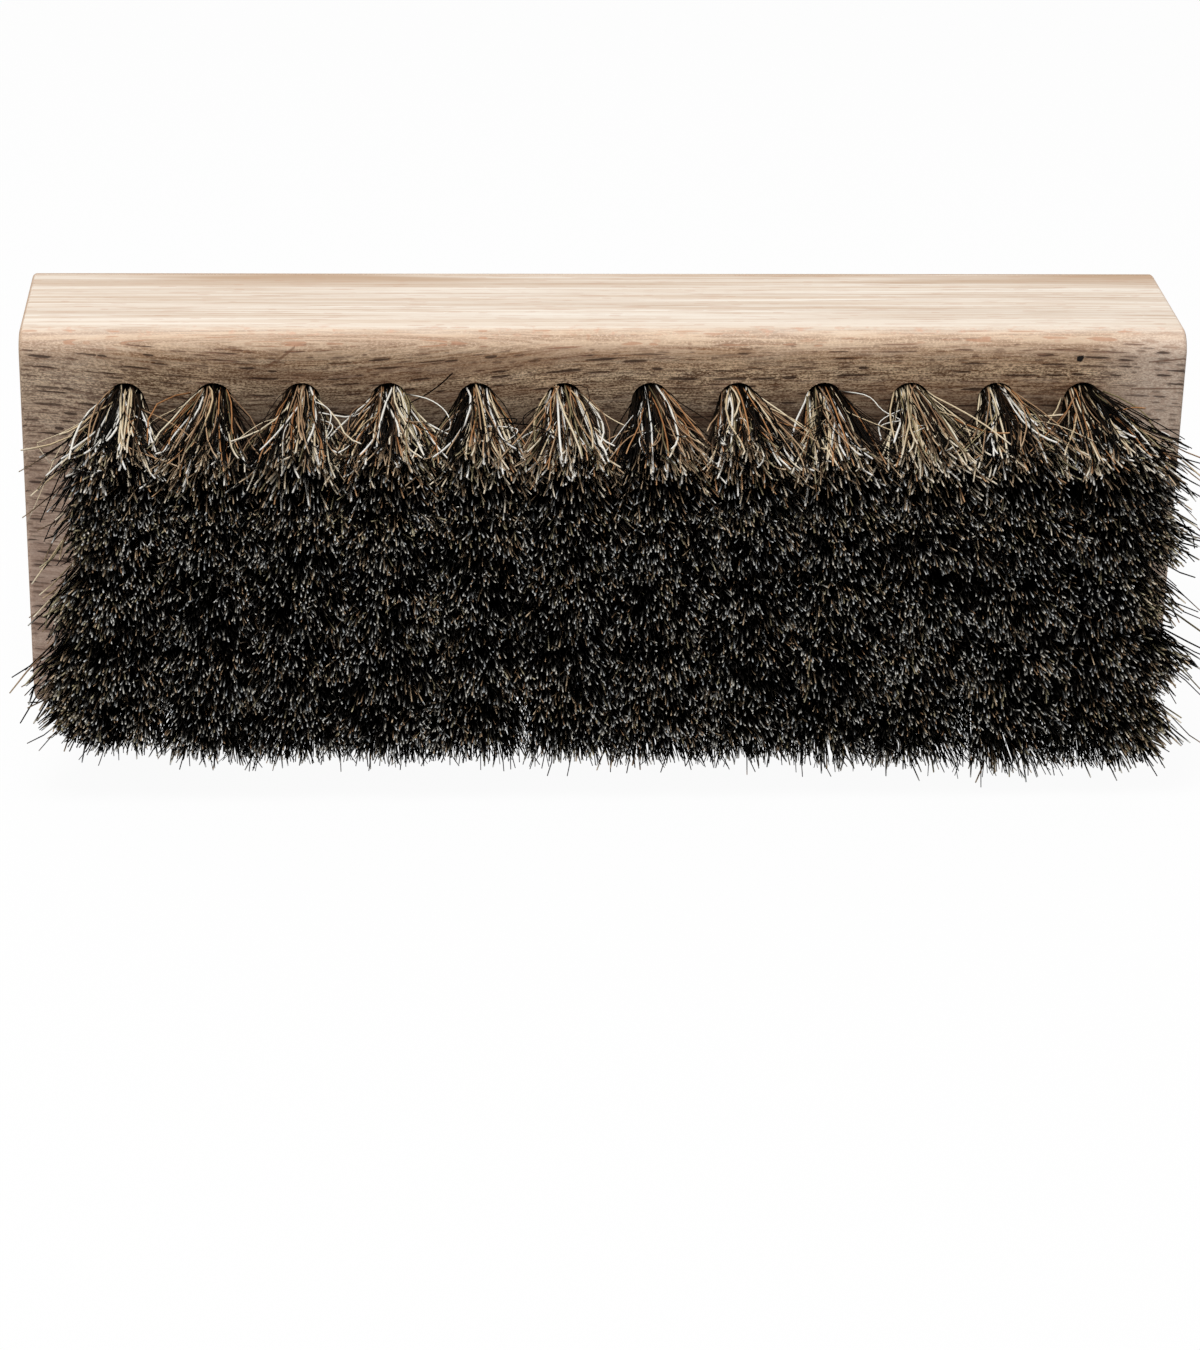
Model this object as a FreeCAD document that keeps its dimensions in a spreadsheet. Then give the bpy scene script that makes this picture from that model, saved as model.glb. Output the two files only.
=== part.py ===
import FreeCAD, Part
import os
import Sketcher

# Shoe shine brush: a beech block with drilled rows of holes, a flared bristle tuft in each hole,
# and a flat wire anchor over the fold of each tuft.
# The brush stands on a long side. X runs along the block, Z is up, the bristles point to -Y.
# The origin lies under the middle of the whole brush, on the surface that it stands on.
# Every piece is drawn in a frame of its own whose Y = 0 plane is the bristle face of the block.

DRIVING_SIZES = (
    # Block: rounded along its length, eased round its sawn ends
    ("block_length", 150.0),
    ("block_width", 52.0),
    ("block_thickness", 27.0),
    ("edge_radius", 3.0),
    ("end_easing", 0.6),
    # Holes: margins run from the block's sides to the middle of the outer holes
    ("column_count", 12),
    ("row_count", 5),
    ("end_margin", 13.3),
    ("side_margin", 9.0),
    ("hole_diameter", 5.0),
    ("hole_depth", 14.0),
    ("drill_angle", 118.0),
    # Tufts: along the block, the tips of a free tuft stand out beyond its root by the spread
    ("bristle_length", 30.0),
    ("tip_spread", 4.5),
    ("tuft_gap", 0.3),
    ("root_clearance", 0.05),
    # Anchors: each end bites into the wood, and the folded hair lies below
    ("anchor_bite", 0.6),
    ("anchor_width", 2.0),
    ("anchor_thickness", 0.4),
    ("fold_height", 1.0),
    ("anchor_clearance", 0.02),
)

# Sizes that follow from the driving ones
FACE_PLACE = "(Sizes.bristle_length - Sizes.block_thickness) / 2"
COLUMN_SPAN = "(Sizes.block_length - 2 * Sizes.end_margin)"
ROW_SPAN = "(Sizes.block_width - 2 * Sizes.side_margin)"
COLUMN_PITCH = f"{COLUMN_SPAN} / (Sizes.column_count - 1)"
ROW_PITCH = f"{ROW_SPAN} / (Sizes.row_count - 1)"
FIRST_COLUMN = "(Sizes.block_length / 2 - Sizes.end_margin)"
ROOT_RADIUS = "(Sizes.hole_diameter / 2 - Sizes.root_clearance)"
TIP_REACH = f"({ROOT_RADIUS} + Sizes.tip_spread)"
CELL_LENGTH = f"({COLUMN_PITCH} - Sizes.tuft_gap)"
CELL_WIDTH = f"({ROW_PITCH} - Sizes.tuft_gap)"
ROOT_DEPTH = "(Sizes.hole_depth - Sizes.root_clearance)"
ROOT_POINT = f"({ROOT_DEPTH} + {ROOT_RADIUS} / tan(Sizes.drill_angle / 2 * 1 deg))"
ANCHOR_LENGTH = "(Sizes.hole_diameter + 2 * Sizes.anchor_bite)"
ANCHOR_TOP = "(Sizes.hole_depth - Sizes.fold_height - Sizes.anchor_width)"
SLOT_LENGTH = f"({ANCHOR_LENGTH} + 2 * Sizes.anchor_clearance)"
SLOT_WIDTH = "(Sizes.anchor_width + 2 * Sizes.anchor_clearance)"
SLOT_THICKNESS = "(Sizes.anchor_thickness + 2 * Sizes.anchor_clearance)"
SLOT_TOP = f"({ANCHOR_TOP} - Sizes.anchor_clearance)"

ORIGIN_POINT = (-1, 1)
H_AXIS = -1
START, END, CENTRE = 1, 2, 3

doc = FreeCAD.newDocument("shoe_shine_brush")
sheet = doc.addObject("Spreadsheet::Sheet", "Sizes")
for number, (alias, value) in enumerate(DRIVING_SIZES, start=1):
    sheet.set(f"A{number}", alias)
    sheet.set(f"B{number}", str(value))
    sheet.setAlias(f"B{number}", alias)
doc.recompute()


def worth(expression):
    """The value of an expression at the sheet's present sizes."""
    result = sheet.evalExpression(expression)
    return float(getattr(result, "Value", result))


def new_body(label):
    body = doc.addObject("PartDesign::Body", label)
    body.Label = label
    body.setExpression("Placement.Base.y", FACE_PLACE)
    return body


def origin_part(body, role):
    return next(part for part in body.Origin.OriginFeatures if part.Role == role)


def new_sketch(body, name, plane, offset=None):
    """A sketch on one of the body's own planes, moved along its normal by an expression."""
    sketch = body.newObject("Sketcher::SketchObject", name)
    sketch.AttachmentSupport = [(origin_part(body, plane), "")]
    sketch.MapMode = "FlatFace"
    if offset:
        sketch.setExpression("AttachmentOffset.Base.z", offset)
    return sketch


def closed_outline(sketch, corners):
    """Straight edges through the corners, joined end to end; gives the edges' numbers."""
    points = [FreeCAD.Vector(across, up, 0) for across, up in corners]
    edges = []
    for here, there in zip(points, points[1:] + points[:1]):
        edges.append(sketch.addGeometry(Part.LineSegment(here, there)))
    for edge, after in zip(edges, edges[1:] + edges[:1]):
        sketch.addConstraint(Sketcher.Constraint("Coincident", edge, END, after, START))
    return edges


def bind(sketch, kind, first, second, expression):
    """A signed horizontal or vertical distance from the first point to the second."""
    constraint = Sketcher.Constraint(kind, *first, *second, worth(expression))
    number = sketch.addConstraint(constraint)
    sketch.setExpression(f"Constraints[{number}]", expression)


def bind_span(sketch, kind, line, expression):
    """The length of a line that runs along one of the sketch's axes, whichever way it points."""
    first, last = sketch.getPoint(line, START), sketch.getPoint(line, END)
    along = last - first
    forward = along.x + along.y > 0
    ends = (START, END) if forward else (END, START)
    bind(sketch, kind, (line, ends[0]), (line, ends[1]), expression)


def rectangle(sketch, left, bottom, width, height):
    """A rectangle whose lower left corner and sizes are expressions."""
    low = (worth(left), worth(bottom))
    high = (low[0] + worth(width), low[1] + worth(height))
    corners = (low, (high[0], low[1]), high, (low[0], high[1]))
    edges = closed_outline(sketch, corners)
    for edge in edges[0::2]:
        sketch.addConstraint(Sketcher.Constraint("Horizontal", edge))
    for edge in edges[1::2]:
        sketch.addConstraint(Sketcher.Constraint("Vertical", edge))
    corner = (edges[0], START)
    bind(sketch, "DistanceX", ORIGIN_POINT, corner, left)
    bind(sketch, "DistanceY", ORIGIN_POINT, corner, bottom)
    bind(sketch, "DistanceX", corner, (edges[0], END), width)
    bind(sketch, "DistanceY", (edges[1], START), (edges[1], END), height)


def circle(sketch, centre, diameter):
    """A circle of an expression's diameter, still free to move; gives its number."""
    ring = sketch.addGeometry(Part.Circle(centre, FreeCAD.Vector(0, 0, 1), worth(diameter) / 2))
    number = sketch.addConstraint(Sketcher.Constraint("Diameter", ring, worth(diameter)))
    sketch.setExpression(f"Constraints[{number}]", diameter)
    return ring


def extrude(body, kind, name, sketch, length, side="One side"):
    """A Pad or a Pocket of an expression's length."""
    feature = body.newObject(f"PartDesign::{kind}", name)
    feature.Profile = sketch
    feature.SideType = side
    feature.setExpression("Length", length)
    return feature


def pattern(body, name, originals, axis, span, count):
    """A row of copies that fills a span along one of the body's axes."""
    row = body.newObject("PartDesign::LinearPattern", name)
    row.Originals = originals
    row.Direction = (origin_part(body, axis), [""])
    row.setExpression("Length", span)
    row.setExpression("Occurrences", count)
    body.Tip = row
    return row


def anchor_slot(body, centre_x, centre_z):
    """The slot that an anchor fills, cut at its depth below the bristle face."""
    sketch = new_sketch(body, "slot_outline", "XZ_Plane", f"-{SLOT_TOP}")
    left = f"{centre_x} - {SLOT_THICKNESS} / 2"
    bottom = f"{centre_z} - {SLOT_LENGTH} / 2"
    rectangle(sketch, left, bottom, SLOT_THICKNESS, SLOT_LENGTH)
    return extrude(body, "Pocket", "slot", sketch, SLOT_WIDTH)


def require_cuts(*features):
    """Stops unless each feature leaves less of the piece than the one before it."""
    for before, after in zip(features, features[1:]):
        if not after.Shape.Volume < before.Shape.Volume:
            raise RuntimeError(f"{after.Label} removes nothing")


def edge_names(shape, test):
    return [f"Edge{n}" for n, edge in enumerate(shape.Edges, start=1) if test(edge)]


def rounding(body, name, base, test, radius):
    """A fillet along every edge of the base feature that passes the test."""
    doc.recompute()
    feature = body.newObject("PartDesign::Fillet", name)
    feature.Base = (base, edge_names(base.Shape, test))
    feature.setExpression("Radius", radius)
    return feature


def wood_block():
    """The beech block: rounded long edges, eased ends, blind holes with anchor slots."""
    body = new_body("wood_block")
    section = new_sketch(body, "block_section", "YZ_Plane")
    rectangle(section, "0", "0", "Sizes.block_thickness", "Sizes.block_width")
    blank = extrude(body, "Pad", "blank", section, "Sizes.block_length", "Symmetric")
    half_length = worth("Sizes.block_length / 2")
    nearness = worth("Sizes.end_easing / 100")

    def runs_along(edge):
        return edge.BoundBox.XLength > half_length

    def on_an_end(edge):
        return edge.BoundBox.XLength < nearness and abs(edge.BoundBox.XMax) > half_length - nearness

    rounded = rounding(body, "long_edges", blank, runs_along, "Sizes.edge_radius")
    eased = rounding(body, "end_edges", rounded, on_an_end, "Sizes.end_easing")
    doc.recompute()

    hole_mark = new_sketch(body, "hole_mark", "XZ_Plane")
    centre = FreeCAD.Vector(-worth(FIRST_COLUMN), worth("Sizes.side_margin"), 0)
    ring = circle(hole_mark, centre, "Sizes.hole_diameter")
    bind(hole_mark, "DistanceX", (ring, CENTRE), ORIGIN_POINT, FIRST_COLUMN)
    bind(hole_mark, "DistanceY", ORIGIN_POINT, (ring, CENTRE), "Sizes.side_margin")
    doc.recompute()
    hole = body.newObject("PartDesign::Hole", "tuft_hole")
    hole.Profile = hole_mark
    hole.DepthType = "Dimension"
    hole.DrillPoint = "Angled"
    hole.DrillForDepth = False
    hole.setExpression("Diameter", "Sizes.hole_diameter")
    hole.setExpression("Depth", "Sizes.hole_depth")
    hole.setExpression("DrillPointAngle", "Sizes.drill_angle * 1 deg")
    doc.recompute()
    slot = anchor_slot(body, f"-{FIRST_COLUMN}", "Sizes.side_margin")
    doc.recompute()
    holes = pattern(body, "hole_grid", [hole, slot], "X_Axis", COLUMN_SPAN, "Sizes.column_count")
    holes.Direction2 = (origin_part(body, "Z_Axis"), [""])
    holes.setExpression("Length2", ROW_SPAN)
    holes.setExpression("Occurrences2", "Sizes.row_count")
    doc.recompute()
    require_cuts(blank, eased, hole, slot, holes)
    return body


def root_profile(body):
    """Half of a tuft's root: a cylinder that ends in the drill point of its hole."""
    sketch = new_sketch(body, "root_profile", "YZ_Plane")
    root, depth, point = worth(ROOT_RADIUS), worth(ROOT_DEPTH), worth(ROOT_POINT)
    axis, cone, wall, mouth = closed_outline(sketch, ((0, 0), (point, 0), (depth, root), (0, root)))
    joins = (
        ("Coincident", axis, START, *ORIGIN_POINT),
        ("PointOnObject", axis, END, H_AXIS),
        ("Horizontal", wall),
        ("Vertical", mouth),
    )
    for join in joins:
        sketch.addConstraint(Sketcher.Constraint(*join))
    bind(sketch, "DistanceY", ORIGIN_POINT, (mouth, START), ROOT_RADIUS)
    bind(sketch, "DistanceX", ORIGIN_POINT, (cone, END), ROOT_DEPTH)
    bind(sketch, "DistanceX", ORIGIN_POINT, (axis, END), ROOT_POINT)
    return sketch


def mouth_outline(body):
    """The round outline in which a tuft leaves its hole."""
    sketch = new_sketch(body, "mouth_outline", "XZ_Plane")
    ring = circle(sketch, FreeCAD.Vector(0, 0, 0), f"2 * {ROOT_RADIUS}")
    sketch.addConstraint(Sketcher.Constraint("Coincident", ring, CENTRE, *ORIGIN_POINT))
    return sketch


def tip_outline(body):
    """The oval outline of a tuft's tips, its long way along the block."""
    sketch = new_sketch(body, "tip_outline", "XZ_Plane", "Sizes.bristle_length")
    reach = FreeCAD.Vector(worth(TIP_REACH), 0, 0)
    rise = FreeCAD.Vector(0, worth(CELL_WIDTH) / 2, 0)
    oval = sketch.addGeometry(Part.Ellipse(reach, rise, FreeCAD.Vector(0, 0, 0)))
    sketch.exposeInternalGeometry(oval)
    long_axis, short_axis = oval + 1, oval + 2
    sketch.addConstraint(Sketcher.Constraint("Coincident", oval, CENTRE, *ORIGIN_POINT))
    sketch.addConstraint(Sketcher.Constraint("Horizontal", long_axis))
    bind_span(sketch, "DistanceX", long_axis, f"2 * {TIP_REACH}")
    bind_span(sketch, "DistanceY", short_axis, CELL_WIDTH)
    return sketch


def place_column(body, column):
    """Sets a column's frame at the mouth of its lowest hole."""
    body.setExpression("Placement.Base.x", f"{column} * {COLUMN_PITCH} - {FIRST_COLUMN}")
    body.setExpression("Placement.Base.z", "Sizes.side_margin")


def bristle_tufts(column, columns):
    """One column of tufts: each flares to an oval that fills its row, flat where columns meet."""
    body = new_body(f"bristle_tufts_{column + 1:02d}")
    place_column(body, column)
    profile = root_profile(body)
    root = body.newObject("PartDesign::Revolution", "root")
    root.Profile = profile
    root.ReferenceAxis = (profile, ["H_Axis"])
    root.Angle = 360
    doc.recompute()
    mouth, tips = mouth_outline(body), tip_outline(body)
    doc.recompute()
    flare = body.newObject("PartDesign::AdditiveLoft", "flare")
    flare.Profile = mouth
    flare.Sections = [tips]
    flare.Ruled = True
    slot = anchor_slot(body, "0", "0")
    doc.recompute()
    require_cuts(flare, slot)

    sides = new_sketch(body, "column_sides", "XY_Plane")
    tip_end = "-Sizes.bristle_length - Sizes.tuft_gap"
    flare_length = "Sizes.bristle_length + Sizes.tuft_gap"
    half_cell = f"{CELL_LENGTH} / 2"
    if column > 0:
        rectangle(sides, f"-{half_cell} - {TIP_REACH}", tip_end, TIP_REACH, flare_length)
    if column < columns - 1:
        rectangle(sides, half_cell, tip_end, TIP_REACH, flare_length)
    trim = extrude(body, "Pocket", "column_trim", sides, f"2 * {CELL_WIDTH}", "Symmetric")
    doc.recompute()
    pattern(body, "tuft_rows", [root, flare, slot, trim], "Z_Axis", ROW_SPAN, "Sizes.row_count")
    doc.recompute()
    return body


def tuft_anchors(column):
    """One column of flat wire anchors, set across the grain, with their ends in the wood."""
    body = new_body(f"tuft_anchors_{column + 1:02d}")
    place_column(body, column)
    outline = new_sketch(body, "anchor_outline", "YZ_Plane")
    rectangle(outline, ANCHOR_TOP, f"-{ANCHOR_LENGTH} / 2", "Sizes.anchor_width", ANCHOR_LENGTH)
    anchor = extrude(body, "Pad", "anchor", outline, "Sizes.anchor_thickness", "Symmetric")
    doc.recompute()
    pattern(body, "anchor_rows", [anchor], "Z_Axis", ROW_SPAN, "Sizes.row_count")
    return body


def check(bodies):
    """Stops if any feature failed or any piece is missing, broken or in the wrong number."""
    for item in doc.Objects:
        if "Invalid" in item.State or "Error" in item.State:
            raise RuntimeError(f"{item.Label} failed: {item.State}")
    rows = int(worth("Sizes.row_count"))
    for body in bodies:
        if body.Shape.isNull() or not body.Shape.isValid():
            raise RuntimeError(f"{body.Label} has no valid shape")
        pieces = 1 if body.Label == "wood_block" else rows
        if len(body.Shape.Solids) != pieces:
            raise RuntimeError(f"{body.Label} has {len(body.Shape.Solids)} solids, not {pieces}")


column_total = int(worth("Sizes.column_count"))
bodies = [wood_block()]
for column in range(column_total):
    bodies.append(bristle_tufts(column, column_total))
    bodies.append(tuft_anchors(column))
doc.recompute()
check(bodies)

os.makedirs("parts", exist_ok=True)
for body in bodies:
    body.Shape.exportStep(f"parts/{body.Label}.step")
    box = body.Shape.BoundBox
    print(
        f"{body.Label}: {len(body.Shape.Solids)} solids, {body.Shape.Volume:.1f} mm3,",
        f"x {box.XMin:.2f} {box.XMax:.2f}, y {box.YMin:.2f} {box.YMax:.2f}, z {box.ZMin:.2f} {box.ZMax:.2f}",
    )
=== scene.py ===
import math
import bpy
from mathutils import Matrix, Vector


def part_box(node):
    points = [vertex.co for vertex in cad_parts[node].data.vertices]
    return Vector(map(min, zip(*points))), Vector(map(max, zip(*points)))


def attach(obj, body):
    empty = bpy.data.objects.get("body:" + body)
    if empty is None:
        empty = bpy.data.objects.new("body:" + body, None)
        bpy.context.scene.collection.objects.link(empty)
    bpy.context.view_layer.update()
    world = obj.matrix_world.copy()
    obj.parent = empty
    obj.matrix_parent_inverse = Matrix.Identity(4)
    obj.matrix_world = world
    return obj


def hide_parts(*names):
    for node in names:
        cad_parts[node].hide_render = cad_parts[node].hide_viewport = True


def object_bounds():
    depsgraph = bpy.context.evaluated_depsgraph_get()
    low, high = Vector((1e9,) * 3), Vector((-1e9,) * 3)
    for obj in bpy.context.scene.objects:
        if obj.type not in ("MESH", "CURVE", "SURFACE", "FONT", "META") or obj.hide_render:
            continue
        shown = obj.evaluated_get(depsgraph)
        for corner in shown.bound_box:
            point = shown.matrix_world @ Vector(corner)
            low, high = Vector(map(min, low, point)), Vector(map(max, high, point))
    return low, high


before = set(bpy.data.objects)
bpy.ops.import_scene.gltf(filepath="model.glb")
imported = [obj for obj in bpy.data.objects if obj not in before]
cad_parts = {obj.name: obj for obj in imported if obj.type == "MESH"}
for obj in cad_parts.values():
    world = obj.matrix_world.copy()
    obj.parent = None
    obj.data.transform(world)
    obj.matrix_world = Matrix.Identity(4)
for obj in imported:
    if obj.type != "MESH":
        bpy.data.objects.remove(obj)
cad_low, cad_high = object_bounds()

from types import SimpleNamespace

import bmesh
import bpy
import numpy as np
from mathutils import Matrix

# Shoe shine brush on a white table, standing on a long side with its bristles towards the camera.
# Lengths are in metres. X runs along the block, Z is up, and the hairs point to -Y.

MM = 0.001

# Camera, worked out from the block's edges in the picture
PICTURE_HEIGHT = 1350
FOCAL_PIXELS = 3800
CAMERA_PLACE = (-0.0304, -0.4573, 0.2135)
CAMERA_TURN = math.radians(3.77)
CAMERA_TILT = math.radians(24.47)
CAMERA_ROLL = math.radians(1.26)
SENSOR_WIDTH = 36.0
CLIP_START = 10 * MM

# Table and light: the table throws back little light, though it is seen white
TABLE_SIZE = 6
TABLE_LIT, TABLE_SEEN = (0.22, 0.22, 0.22, 1), (0.9, 0.9, 0.9, 1)
TABLE_GLOW = 0.95
ROOM_LEVEL = 0.42
LAMP_PLACE = (-0.12, -0.22, 0.75)
LAMP_SIZE = 0.35
LAMP_POWER = 4.0

# Grain of the wood: one dip along the block, a wander across it and back, ragged borders, year rings
DIP_PLACE, DIP_WIDTH, DIP_DEPTH = -42 * MM, 27 * MM, 4.4 * MM
WANDER_ACROSS, WANDER_BACK = 3 * MM, 1 * MM
RAGGED_BORDER = 1.4
FLECK_CELL, SMALL_FLECK_CELL = (5.4 * MM, 1.15 * MM), (2.6 * MM, 0.75 * MM)
SMALL_FLECK_SHIFT = 3.3 * MM
HEART_BEHIND, HEART_HEIGHT = 62 * MM, 20 * MM
YEAR_WIDTH, YEAR_DRIFT, YEAR_WANDER = 2.3 * MM, 7 * MM, 4 * MM

# Relief of a surface: its strength and depth
BEECH_RELIEF = (0.35, 0.12 * MM)
WIRE_RELIEF = (0.15, 0.02 * MM)

# Where a tint of the wood begins and where it is full: depths, heights and places along the block; some place
# painted light and shade: a highlight on the side, bounce light low on the face, light at its ends, shade
# between the tufts and in the holes
NEAR_FACE, SIDE_HIGHLIGHT, BANDED_BACK = (5 * MM, 1.5 * MM), (8 * MM, 4 * MM), (10 * MM, 2 * MM)
UNDER_EDGE, UNDER_EDGE_TEAR = (48.2 * MM, 51.4 * MM), 4 * MM
BOUNCE_LIGHT_HEIGHTS = (47 * MM, 20 * MM)
LIT_LEFT_END, LIT_RIGHT_END = (-58 * MM, -70 * MM), (60 * MM, 72 * MM)
TUFT_SHADE_HEIGHTS, TUFT_SHADE_REACH = (45.5 * MM, 39 * MM), (68 * MM, 63 * MM)
HOLE_MOUTHS, HOLE_BOTTOMS = (0.2 * MM, 0.8 * MM), (5 * MM, 6 * MM)
HOLES_ALONG, HOLES_ACROSS = (70 * MM, 69 * MM), (22 * MM, 21.8 * MM)
MARKS_DEPTH = (2 * MM, 1 * MM)

# Marks of use on the bristle face: the span of a line, its height with slope and curve, half its width
END_CHECKS = (
    ((70 * MM, 80 * MM), (49.9 * MM, 0.14, 0.0), 0.11 * MM),
    ((68 * MM, 80 * MM), (46.2 * MM, 0.05, 0.0), 0.1 * MM),
)
SCAR = ((-44 * MM, -40 * MM), (47.6 * MM, 0.36, 96.5), 0.24 * MM)
PIN_HOLE = (61 * MM, 48.8 * MM)
PIN_HOLE_FRAY = 0.7 * MM
PIN_HOLE_BORDER = (0.86 * MM, 0.68 * MM)

# Tufts: columns run along the block, rows are counted from the table upwards
COLUMNS = 12
COLUMN_PITCH = 11.218 * MM
ROW_HEIGHTS = (9 * MM, 17.5 * MM, 26 * MM, 34.5 * MM, 43 * MM)
TOP_ROW = len(ROW_HEIGHTS) - 1
INNER_HAIRS, TOP_HAIRS, END_HAIRS = 800, 680, 960
HAIR_SEED = 4100
OUTER_SHARE = 0.66
BRISTLE_LENGTH = 30 * MM
ROOT_RADIUS = 2.25 * MM
ROOT_SAG = 0.25 * MM
ROOT_SINK = 2 * MM
SPREAD_ALONG = 6.2 * MM
SPREAD_ACROSS = 4.4 * MM
UPPER_REACH = 3.4 * MM
LEAST_DROOP, MOST_DROOP, DROOP_LEVEL = 0.36 * MM, 2.16 * MM, 0.5
LOWER_COLUMNS = (0, 1, 5, 7, 10, 11)
LOWER_REACH = (1.7 * MM, 3.2 * MM, 3.5 * MM, 4.1 * MM, 5.8 * MM, 5.2 * MM)
LEFT_REACH = (7.2 * MM, 9.6 * MM, 7.4 * MM, 6.0 * MM, 4.6 * MM)
LEFT_LIFT = (3.0 * MM, -2.5 * MM, -1.2 * MM, 0.0, 0.0)
LIFT_POWER = 1.5
RIGHT_REACH = (9.4 * MM, 9.4 * MM, 8.8 * MM, 8.2 * MM, 6.2 * MM)
CORNER_ROUNDNESS = 0.3
LOWEST_HAIR = 0.5 * MM
CLUMP_HAIRS = 18
CLUMP_PULL, LOWEST_CLUMP_PULL = 0.44, 0.176
CLUMP_DEPTH = 1.3 * MM
ROW_HOLLOW, HOLLOW_POWER = 0.9 * MM, 3
SHORT_LEVEL, SHORT_RISE, LEAST_SHORT = 0.4, 0.6, 0.1

# Chance in the hairs: how they spread, lean, scatter, stray, bend, lie buried or take the colours of a fan
EVEN_STEPS, EVEN_START = (0.7548776662, 0.5698402910), 1000
LEAN_ALONG, LEAN_ACROSS = 0.6 * MM, 0.24 * MM
SCATTER_ALONG, SCATTER_ACROSS, BUSHY_ACROSS = 0.8 * MM, 0.3 * MM, 0.7 * MM
STRAY_SHARE, LEFT_STRAY, RIGHT_STRAY = 0.16, 0.3, 0.1
WILD_SHARE = 0.06
WILD_BEND = (1.0 * MM, 0.4 * MM, 0.6 * MM)
THINNEST_HAIR, THICKEST_HAIR = 0.055 * MM, 0.085 * MM
CLUMP_CONTRAST = 0.8
FAIR_SIDE_SCATTER = 0.6
BURIED_SHARE, BURIED_FALL = 0.54, 0.95
FAN_RISE, FAN_START, FAN_UNDER_TOP = 1.5, 0.45, 0.55
HOOK_START, WAVE_TURNS = 0.85, 1.3

# Habits of the hairs in the field and in the top row: flare, shorter hairs, bends and bolder hairs
FIELD_HABIT = SimpleNamespace(
    bushy_share=0.3, bushy_along=2.2 * MM, bushy_power=1.0, flare_power=1.2,
    short_share=0.12, most_short=7 * MM, uneven=0.3 * MM, bends=(0.4 * MM, 0.2 * MM, 0.55 * MM),
    bolder=0.0, pale_bolder=0.035 * MM, fan_bolder=0.04 * MM,
    straw_bolder=0.0, white_bolder=0.0,
)
TOP_HABIT = SimpleNamespace(
    bushy_share=0.4, bushy_along=2.8 * MM, bushy_power=1.3, flare_power=1.8,
    short_share=0.6, most_short=9 * MM, uneven=0.8 * MM, bends=(0.7 * MM, 0.14 * MM, 0.4 * MM),
    bolder=0.01 * MM, pale_bolder=0.015 * MM, fan_bolder=0.015 * MM,
    straw_bolder=0.03 * MM, white_bolder=0.02 * MM,
)

# Hairs that cross a tuft of the top row: their number, thickness and where along a hair they begin and end
CROSSING_HAIRS = 20
CROSSING_RADII = (0.05 * MM, 0.09 * MM)
CROSSING_BEGIN, CROSSING_END = (0.12, 0.5), (0.6, 0.96)
CROSSING_WIDTH = 0.9
CROSSING_DRIFT, CROSSING_SCATTER, CROSSING_BOW = 3 * MM, 4 * MM, 1.6 * MM
CROSSING_SINK, CROSSING_FALL, CROSSING_RISE, CROSSING_ARCH = 0.3 * MM, 2.0 * MM, 0.6 * MM, 1.4 * MM

# One hair: the places of its rings from root to tip, and how much its tip narrows
FIELD_RINGS = (0.0, 0.5, 0.9, 1.0)
END_RINGS = (0.0, 0.35, 0.65, 0.88, 1.0)
TOP_RINGS = (0.0, 0.22, 0.43, 0.62, 0.79, 0.92, 1.0)
LOOSE_RINGS = tuple(step / 14 for step in range(15))
HAIR_SIDES = 4
TIP_NARROWING = 0.8
TIP_HEIGHT = 0.999
HAIR_TOP_V = 0.985
TONE_HALF_WIDTH = 0.003

# Tufts of the top row from left to right: shares of black, brown, straw and white hairs, and the fairer side
TOP_TUFTS = (
    (0.58, 0.24, 0.11, 0.07, 0.0), (0.43, 0.41, 0.09, 0.07, -0.4), (0.47, 0.32, 0.14, 0.07, 0.2),
    (0.41, 0.38, 0.14, 0.07, 0.5), (0.45, 0.40, 0.09, 0.06, 0.4), (0.26, 0.51, 0.13, 0.10, -0.2),
    (0.48, 0.44, 0.04, 0.04, 0.8), (0.39, 0.43, 0.11, 0.07, -0.2), (0.47, 0.40, 0.08, 0.05, 0.0),
    (0.27, 0.36, 0.32, 0.05, 0.0), (0.53, 0.34, 0.08, 0.05, 0.2), (0.54, 0.30, 0.10, 0.06, 0.0),
)

# Bands of the tone scale that the hair material reads across its map
DARK_TIPPED = (0.01, 0.13)
GREY_TIPPED = (0.15, 0.33)
PALE_TIPPED = (0.34, 0.455)
TAN_TIPPED = (0.465, 0.49)
BLACK = (0.51, 0.59)
DARK_BROWN = (0.61, 0.69)
BROWN = (0.71, 0.75)
OLIVE = (0.765, 0.795)
CHESTNUT = (0.815, 0.855)
STRAW = (0.875, 0.935)
WHITE = (0.955, 0.99)

# Shares of the tones: dark and warm hairs of the top row, the field, the fans at the ends, crossing hairs
TOP_DARK_SHARES = ((DARK_TIPPED, 0.2), (GREY_TIPPED, 0.15), (PALE_TIPPED, 0.1), (BLACK, 0.55))
TOP_WARM_SHARES = ((DARK_BROWN, 0.42), (BROWN, 0.34), (OLIVE, 0.13), (CHESTNUT, 0.11))
FIELD_SHARES = (
    (DARK_TIPPED, 0.58), (GREY_TIPPED, 0.11), (PALE_TIPPED, 0.22), (TAN_TIPPED, 0.03),
    (DARK_BROWN, 0.03), (BROWN, 0.015), (OLIVE, 0.015),
)
FAN_SHARES = (
    (DARK_TIPPED, 0.2), (PALE_TIPPED, 0.06), (BLACK, 0.3), (DARK_BROWN, 0.14),
    (BROWN, 0.1), (OLIVE, 0.14), (STRAW, 0.06),
)
CROSSING_SHARES = (
    (BLACK, 0.24), (DARK_BROWN, 0.22), (BROWN, 0.2), (OLIVE, 0.06),
    (CHESTNUT, 0.06), (STRAW, 0.13), (WHITE, 0.09),
)

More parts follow.
